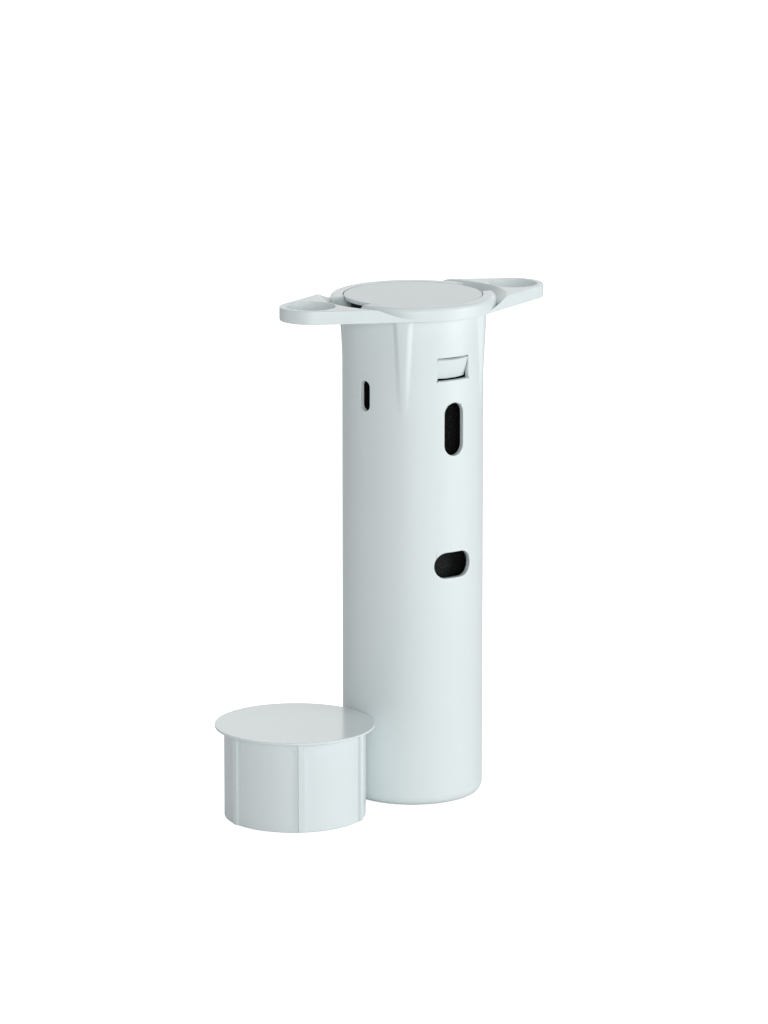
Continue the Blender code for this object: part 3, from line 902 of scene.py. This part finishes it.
apply_step(right_tape, "BEVEL", width=0.5 * MM, segments=3, limit_method="ANGLE", angle_limit=math.radians(60))
tape_map = right_tape.data.uv_layers[0] if right_tape.data.uv_layers else right_tape.data.uv_layers.new()
tape_map.name = "weave"
for loop in right_tape.data.loops:
    co = right_tape.data.vertices[loop.vertex_index].co
    tape_map.data[loop.index].uv = (along_tape(co), co.y)
pick_up(right_tape)
bpy.ops.object.shade_smooth_by_angle(angle=math.radians(50))
left_tape = right_tape.copy()
left_tape.data = right_tape.data.copy()
left_tape.name = left_tape.data.name = "loop_tape_left"
bpy.context.scene.collection.objects.link(left_tape)
for tape, side in ((right_tape, 1), (left_tape, -1)):
    tape.location.x = side * abs(tape_middle)
    pick_up(tape)
    bpy.ops.object.transform_apply(location=True, rotation=True, scale=True)
    told(tape)

# %% [markdown]
# Both feet of a loop are sewn to the cloth with a box of stitches and a cross in it.

# %% Stitches on the feet
def box_and_cross(middle_x, half_x, half_y, height):
    """Seats of the stitches of one sewn box with a cross."""
    signs = ((-1, -1), (1, -1), (1, 1), (-1, 1))
    corners = [Vector((middle_x + sx * half_x, sy * half_y, height)) for sx, sy in signs]
    outline = [(corners[n], corners[(n + 1) % 4]) for n in range(4)]
    lines = outline + [(corners[0], corners[2]), (corners[1], corners[3])]
    seats = []
    for start, end in lines:
        count = max(2, round((end - start).length / (2.1 * MM)))
        for number in range(count):
            middle = start.lerp(end, (number + 0.5) / count)
            seats.append((middle, end - start, Vector((0, 0, 1))))
    return seats


foot_top = tape_foot + TAPE_THICKNESS / 2 + 0.06 * MM
foot_span = (tape_reach - LOOP_RADIUS - TAPE_BEND) / 2
foot_at = tape_reach - foot_span
tape_stitches = {}
for tape, side in ((right_tape, 1), (left_tape, -1)):
    seats = []
    for foot in (-1, 1):
        seats += box_and_cross(
            side * abs(tape_middle) + foot * foot_at,
            foot_span - 1.2 * MM,
            TAPE_WIDTH / 2 - 2.4 * MM,
            foot_top,
        )
    name = "tape_stitches_right" if side > 0 else "tape_stitches_left"
    tape_stitches[side] = sewn(name, seats, 1.7 * MM, 0.16 * MM)

# %% [markdown]
# Finishes. A finish is one Principled shader with patterns that vary its colour, its roughness and its
# relief. Working the patterns out as written sums needs one small class: it wraps a socket, and every
# plus, minus or times on it adds the maths node that does the sum.

# %% Sums on sockets
class Flow:
    """A value that flows through the nodes of a finish."""

    def __init__(self, finish, socket):
        self.finish = finish
        self.socket = socket

    def sum(self, operation, first, second=0.0):
        node = self.finish.add("ShaderNodeMath", {"operation": operation}, {0: first, 1: second})
        return Flow(self.finish, node.outputs[0])

    def __add__(self, other):
        return self.sum("ADD", self, other)

    def __radd__(self, other):
        return self.sum("ADD", other, self)

    def __sub__(self, other):
        return self.sum("SUBTRACT", self, other)

    def __rsub__(self, other):
        return self.sum("SUBTRACT", other, self)

    def __mul__(self, other):
        return self.sum("MULTIPLY", self, other)

    def __rmul__(self, other):
        return self.sum("MULTIPLY", other, self)

    def __abs__(self):
        return self.sum("ABSOLUTE", self)

    def __pow__(self, other):
        return self.sum("POWER", self, other)

    def __gt__(self, other):
        return self.sum("GREATER_THAN", self, other)

    def sine(self):
        return self.sum("SINE", self)

    def biggest(self, other):
        return self.sum("MAXIMUM", self, other)


# %% A finish and its nodes
class Finish:
    """One material: a Principled shader whose constant sockets are set here, and the patterns that feed it."""

    def __init__(self, name, **constants):
        self.material = bpy.data.materials.new(name)
        self.material.use_nodes = True
        self.tree = self.material.node_tree
        self.shader = self.tree.nodes["Principled BSDF"]
        for socket, value in constants.items():
            self.shader.inputs[socket.replace("_", " ")].default_value = value

    def add(self, kind, settings=None, inputs=None):
        """Adds a node: its settings first, then the values or links of its sockets."""
        node = self.tree.nodes.new(kind)
        for setting, value in (settings or {}).items():
            if setting == "stops":
                stops = (node.color_ramp.elements[0], node.color_ramp.elements[1])
                for stop, (place, level) in zip(stops, value):
                    stop.position = place
                    stop.color = (level, level, level, 1)
            else:
                setattr(node, setting, value)
        for socket, value in (inputs or {}).items():
            if isinstance(value, Flow):
                self.tree.links.new(value.socket, node.inputs[socket])
            else:
                node.inputs[socket].default_value = value
        return node

    def flow(self, node, output=0):
        return Flow(self, node.outputs[output])

    def place(self, turn=(0, 0, 0), scale=(1, 1, 1)):
        """Where a point of the piece lies, in its own metres."""
        where = self.flow(self.add("ShaderNodeTexCoord"), "Object")
        return self.flow(self.add(
            "ShaderNodeMapping", None, {"Vector": where, "Rotation": turn, "Scale": scale}
        ))

    def weave_place(self):
        """Where a point lies on the cloth or tape, in metres along and across it."""
        where = self.flow(self.add("ShaderNodeUVMap", {"uv_map": "weave"}))
        parts = self.add("ShaderNodeSeparateXYZ", None, {0: where})
        return where, self.flow(parts, 0), self.flow(parts, 1)

    def noise(self, where, per_metre, detail=2.0, rough=0.5):
        return self.flow(self.add(
            "ShaderNodeTexNoise",
            None,
            {"Vector": where, "Scale": per_metre, "Detail": detail, "Roughness": rough},
        ))

    def ramp(self, value, low, high):
        """0 below low, 1 above high, with a soft step between."""
        return self.flow(self.add("ShaderNodeValToRGB", {"stops": ((low, 0.0), (high, 1.0))}, {"Fac": value}))

    def mixed(self, share, first, second):
        """A colour between two colours."""
        node = self.add("ShaderNodeMix", {"data_type": "RGBA"}, {0: share, 6: first, 7: second})
        return self.flow(node, 2)

    def feed(self, **flows):
        for socket, flow in flows.items():
            self.tree.links.new(flow.socket, self.shader.inputs[socket.replace("_", " ")])

    def relief(self, height, depth, strength=1.0):
        bump = self.add("ShaderNodeBump", None, {"Height": height, "Distance": depth, "Strength": strength})
        self.feed(Normal=self.flow(bump))


# %% [markdown]
# The case, lid and cap are moulded from pale, faintly blue-grey plastic with a satin gloss. Up close such
# a surface isn't perfect: the colour clouds a little where the melt flowed, a fine spark-eroded grain
# breaks the gloss, drawing the piece from its mould leaves faint upright drag marks, and handling adds a
# few hair scratches.

# %% Moulded plastic
def hairlines(finish, turn, per_metre, stretch, low, high):
    """Thin scratches that run one way, as a share from 0 to 1."""
    where = finish.place(turn=turn, scale=(1, stretch, 1))
    return finish.ramp(finish.noise(where, per_metre, 1.0), low, high)


def moulded_plastic(name, colour, roughness, wear):
    finish = Finish(name, Specular_IOR_Level=0.5, IOR=1.48)
    where = finish.place()
    clouds = finish.noise(where, 16.0, 3.0)
    flow_lines = finish.noise(finish.place(scale=(1, 1, 0.05)), 260.0, 2.0)
    grain = finish.noise(where, 2600.0, 1.0)
    orange_peel = finish.noise(where, 220.0, 2.0)
    scratches = hairlines(finish, (0.3, 0.5, 0.9), 420.0, 0.02, 0.70, 0.74)
    scratches = scratches.biggest(hairlines(finish, (1.1, -0.4, 2.2), 380.0, 0.02, 0.71, 0.75))
    darker = tuple(part * 0.955 for part in colour[:3]) + (1,)
    lighter = tuple(min(part * 1.02, 1.0) for part in colour[:3]) + (1,)
    scratches = scratches * wear
    share = clouds * 0.5 + flow_lines * 0.25 + 0.25 - scratches * 0.15
    finish.feed(Base_Color=finish.mixed(share, darker, lighter))
    finish.feed(Roughness=roughness - 0.05 + clouds * 0.06 + flow_lines * 0.04 + scratches * 0.18)
    finish.relief(grain * 0.5 + orange_peel * 1.2 + flow_lines * 0.35 - scratches * 0.5, 0.02 * MM, 0.6)
    return finish.material


CASE_COLOUR = (0.720, 0.788, 0.796, 1)
LID_COLOUR = (0.725, 0.793, 0.802, 1)
CAP_COLOUR = (0.730, 0.797, 0.808, 1)
case_plastic = moulded_plastic("satin_case_plastic", CASE_COLOUR, 0.30, wear=0.8)
lid_plastic = moulded_plastic("satin_lid_plastic", LID_COLOUR, 0.36, wear=0.5)
cap_plastic = moulded_plastic("satin_cap_plastic", CAP_COLOUR, 0.16, wear=0.15)
print("plastics:", [m.name for m in (case_plastic, lid_plastic, cap_plastic)])

# %% [markdown]
# The blanket is a plain weave of black glass yarns. In a plain weave each yarn passes over one and under
# the next, so its height is a wave, and the crossing yarn's wave is shifted by half a period. Glass fibre
# glints, so the yarns are less rough along their crowns. The colour is painted darker in the hollows
# between the yarns, as painted shade, and a few pale specks are painted into it as glints of broken filaments.

# %% Glass-fibre cloth
YARN = 0.85 * MM


def woven(finish, along, across, yarn):
    """Height of a plain weave from 0 to 1, and how much of it is the yarn that runs along."""
    turn_along, turn_across = along * (math.pi / yarn), across * (math.pi / yarn)
    over = turn_along.sine() * turn_across.sine()
    crown_along = 1 - abs((turn_across + math.pi / 2).sine()) ** 2.0
    crown_across = 1 - abs((turn_along + math.pi / 2).sine()) ** 2.0
    upper = over * 0.5 + 0.5
    height = crown_along * upper + crown_across * (1 - upper)
    return height, upper


def glass_cloth(name):
    finish = Finish(name, Specular_IOR_Level=0.22, Sheen_Weight=0.03, Sheen_Roughness=0.4)
    where, along, across = finish.weave_place()
    drift = finish.noise(where, 90.0, 1.0)
    height, upper = woven(finish, along + drift * 0.5 * MM, across + drift * 0.4 * MM, YARN)
    strands = finish.noise(where, 5200.0, 1.0)
    patches = finish.noise(where, 45.0, 2.0)
    # pale specks painted into the base colour as glints of broken filaments: painted highlight
    painted_glints = finish.ramp(finish.noise(where, 1500.0, 0.0), 0.715, 0.76)
    # colour darker in the hollows between yarns, led by the weave's height: painted shade; strands and patches
    # are the yarn's own uneven tone
    yarn_tone_and_painted_shade = finish.mixed(
        height * 0.65 + strands * 0.25 + patches * 0.2,
        (0.0012, 0.0016, 0.0013, 1),
        (0.0085, 0.0105, 0.0090, 1),
    )
    # the painted glints are mixed over the yarn colour here
    finish.feed(Base_Color=finish.mixed(painted_glints * 0.7, yarn_tone_and_painted_shade, (0.10, 0.115, 0.105, 1)))
    finish.feed(Roughness=0.78 - height * 0.22 + strands * 0.1)
    finish.relief(height + strands * 0.25, 0.11 * MM, 0.9)
    return finish.material


blanket_cloth = glass_cloth("black_glass_cloth")

# %% [markdown]
# Webbing is a heavier weave with ribs across the tape and a firm selvedge along both edges. Its colour is
# painted darker in the hollows between the yarns, as painted shade. The sewing thread is two yarns twisted
# together, which shows as slanting bands; their colour is painted darker in the grooves of the twist, as
# painted shade.

# %% Webbing and thread
def webbing(name):
    finish = Finish(name, Sheen_Weight=0.3, Sheen_Roughness=0.5)
    where, along, across = finish.weave_place()
    height, upper = woven(finish, along, across, 1.1 * MM)
    edge = abs(across) * (1 / TAPE_WIDTH) > 0.44
    strands = finish.noise(where, 4200.0, 1.0)
    height = height * (1 - edge * 0.5) + edge * 0.25
    # colour lighter on the yarns' crowns and darker in the hollows between them, led by the weave's height:
    # painted shade; strands are the yarn's own uneven tone
    share = height * 0.7 + strands * 0.3
    finish.feed(Base_Color=finish.mixed(share, (0.006, 0.0065, 0.007, 1), (0.042, 0.044, 0.047, 1)))
    finish.feed(Roughness=0.86 - height * 0.14)
    finish.relief(height + strands * 0.3, 0.16 * MM, 0.9)
    return finish.material


def sewing_thread(name, colour):
    finish = Finish(name, Roughness=0.7)
    twist = finish.noise(finish.place(turn=(0.6, 0.7, 0.3), scale=(1, 0.2, 1)), 3600.0, 1.0)
    # colour darker in the grooves of the twist, the same pattern as the relief: painted shade
    finish.feed(Base_Color=finish.mixed(twist, tuple(p * 0.7 for p in colour[:3]) + (1,), colour))
    finish.relief(twist, 0.05 * MM, 0.7)
    return finish.material


tape_webbing = webbing("black_webbing")
thread = sewing_thread("grey_thread", (0.11, 0.115, 0.12, 1))
print("soft finishes:", blanket_cloth.name, tape_webbing.name, thread.name)

# %% [markdown]
# Each piece gets its finish, the part of the solid model it stands for is hidden, and the piece rides on
# that part's body; how far it lies from that part's box is printed.

# %% Dress the pieces and seat them on their bodies
SEATS = (
    (case, case_plastic, "case_plastic", "case", ("case_body",)),
    (tab, case_plastic, "case_plastic", "tab", ("snap_tab",)),
    (lid, lid_plastic, "lid_plastic", "lid", ("lid",)),
    (cap, cap_plastic, "cap_plastic", "cap", ("ribbed_cap",)),
    (blanket, blanket_cloth, "blanket_cloth", "blanket", ("blanket_roll",)),
    (hem, blanket_cloth, "blanket_cloth", "blanket", ()),
    (hem_stitches, thread, "tape_webbing", "blanket", ()),
    (right_tape, tape_webbing, "tape_webbing", "blanket", ("pull_tape_right",)),
    (left_tape, tape_webbing, "tape_webbing", "blanket", ("pull_tape_left",)),
    (tape_stitches[1], thread, "tape_webbing", "blanket", ()),
    (tape_stitches[-1], thread, "tape_webbing", "blanket", ()),
)
for piece, finish, slot, body, nodes in SEATS:
    piece.data.materials.clear()
    piece.data.materials.append(finish)
    if nodes:
        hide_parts(*nodes)
    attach(piece, body)
    if nodes:
        corners = [Vector(corner) for corner in piece.bound_box]
        low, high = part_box(nodes[0])
        off = max(
            max(abs(min(c[n] for c in corners) - low[n]), abs(max(c[n] for c in corners) - high[n]))
            for n in range(3)
        )
        print(f"{piece.name} is within {1000 * off:.2f} mm of {nodes[0]}")

# %% [markdown]
# The floor is plain and pale. A large soft box stands in front and a smaller one on the right, so the
# left side of the tube falls off into a cool grey. A weak one on the left lifts that edge again, and one
# hangs overhead. A wide one stands behind the object and is hidden from the camera. From the front, the
# flat tops of the lid and the cap mirror it, and the cap's top shows the tube in it. From behind, the
# same tops mirror the front box instead and come out white.

# %% Floor
PAPER_GLOW = 0.8
FLOOR_SIZE = 12.0
FLOOR_DROP = 0.0002
put_down()
bpy.ops.mesh.primitive_plane_add(size=FLOOR_SIZE, location=(0, 0, -FLOOR_DROP))
floor = named("studio_floor")
paper = Finish("pale_paper", Roughness=0.95)
paper_grain = paper.noise(paper.place(), 30.0, 3.0)
paper.feed(Base_Color=paper.mixed(paper_grain, (0.84, 0.845, 0.85, 1), (0.88, 0.88, 0.88, 1)))
seen = paper.flow(paper.add("ShaderNodeLightPath"), "Is Camera Ray")
paper.shader.inputs["Emission Strength"].default_value = PAPER_GLOW
paper.feed(Emission_Color=paper.mixed(seen, (0, 0, 0, 1), (1, 1, 1, 1)))
floor.data.materials.append(paper.material)
floor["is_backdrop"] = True

# %% Sky and a soft box
SKY = 0.30


def soft_box(name, place, aim, size, watts):
    lamp = bpy.data.lights.new(name, "AREA")
    lamp.shape = "RECTANGLE"
    lamp.size, lamp.size_y = size
    lamp.energy = watts
    holder = bpy.data.objects.new(name, lamp)
    bpy.context.scene.collection.objects.link(holder)
    holder.location = place
    holder.rotation_euler = (Vector(aim) - Vector(place)).to_track_quat("-Z", "Y").to_euler()
    return holder


# %% Camera and lights
CAMERA_AT = Vector((-1.44967, -2.22429, 0.73420))
CAMERA_AIM = Vector((-0.01202, 0.00774, 0.14258))
view = bpy.data.cameras.new("studio_camera")
view.lens = 192.0
view.sensor_width = 36.0
view.clip_start, view.clip_end = 0.1, 50.0
camera = bpy.data.objects.new("studio_camera", view)
bpy.context.scene.collection.objects.link(camera)
camera.location = CAMERA_AT
camera.rotation_euler = (CAMERA_AIM - CAMERA_AT).to_track_quat("-Z", "Y").to_euler()
bpy.context.scene.camera = camera

AIM = (0, 0, 0.13)


def round_camera(degrees_right, distance, height):
    """A place round the object, counted from the camera's side towards its right."""
    turn = math.atan2(CAMERA_AT.y, CAMERA_AT.x) + math.radians(degrees_right)
    return (distance * math.cos(turn), distance * math.sin(turn), height)


soft_box("key_light", round_camera(72, 1.7, 0.40), AIM, (1.0, 0.78), 12.2)
soft_box("front_light", round_camera(8, 2.6, 0.62), AIM, (1.2, 1.0), 25.5)
soft_box("left_light", round_camera(-95, 2.0, 0.4), AIM, (0.9, 0.78), 1.8)
soft_box("top_light", (0.1, 0.1, 1.7), AIM, (1.0, 1.0), 4.0)
backdrop = soft_box("backdrop_light", round_camera(180, 2.4, 0.85), AIM, (3.2, 1.7), 17.5)
backdrop.visible_camera = False

world = bpy.data.worlds.new("studio")
bpy.context.scene.world = world
world.use_nodes = True
sky = world.node_tree
seen = sky.nodes.new("ShaderNodeLightPath")
bright = sky.nodes.new("ShaderNodeMath")
bright.operation = "MULTIPLY_ADD"
bright.inputs[1].default_value = 1.0 - SKY
bright.inputs[2].default_value = SKY
sky.links.new(seen.outputs["Is Camera Ray"], bright.inputs[0])
sky.links.new(bright.outputs[0], sky.nodes["Background"].inputs["Strength"])
sky.nodes["Background"].inputs["Color"].default_value = (1, 1, 1, 1)
bpy.context.scene.view_settings.view_transform = "Standard"

# %% [markdown]
# Last, the box round the finished model is measured.

low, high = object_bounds()
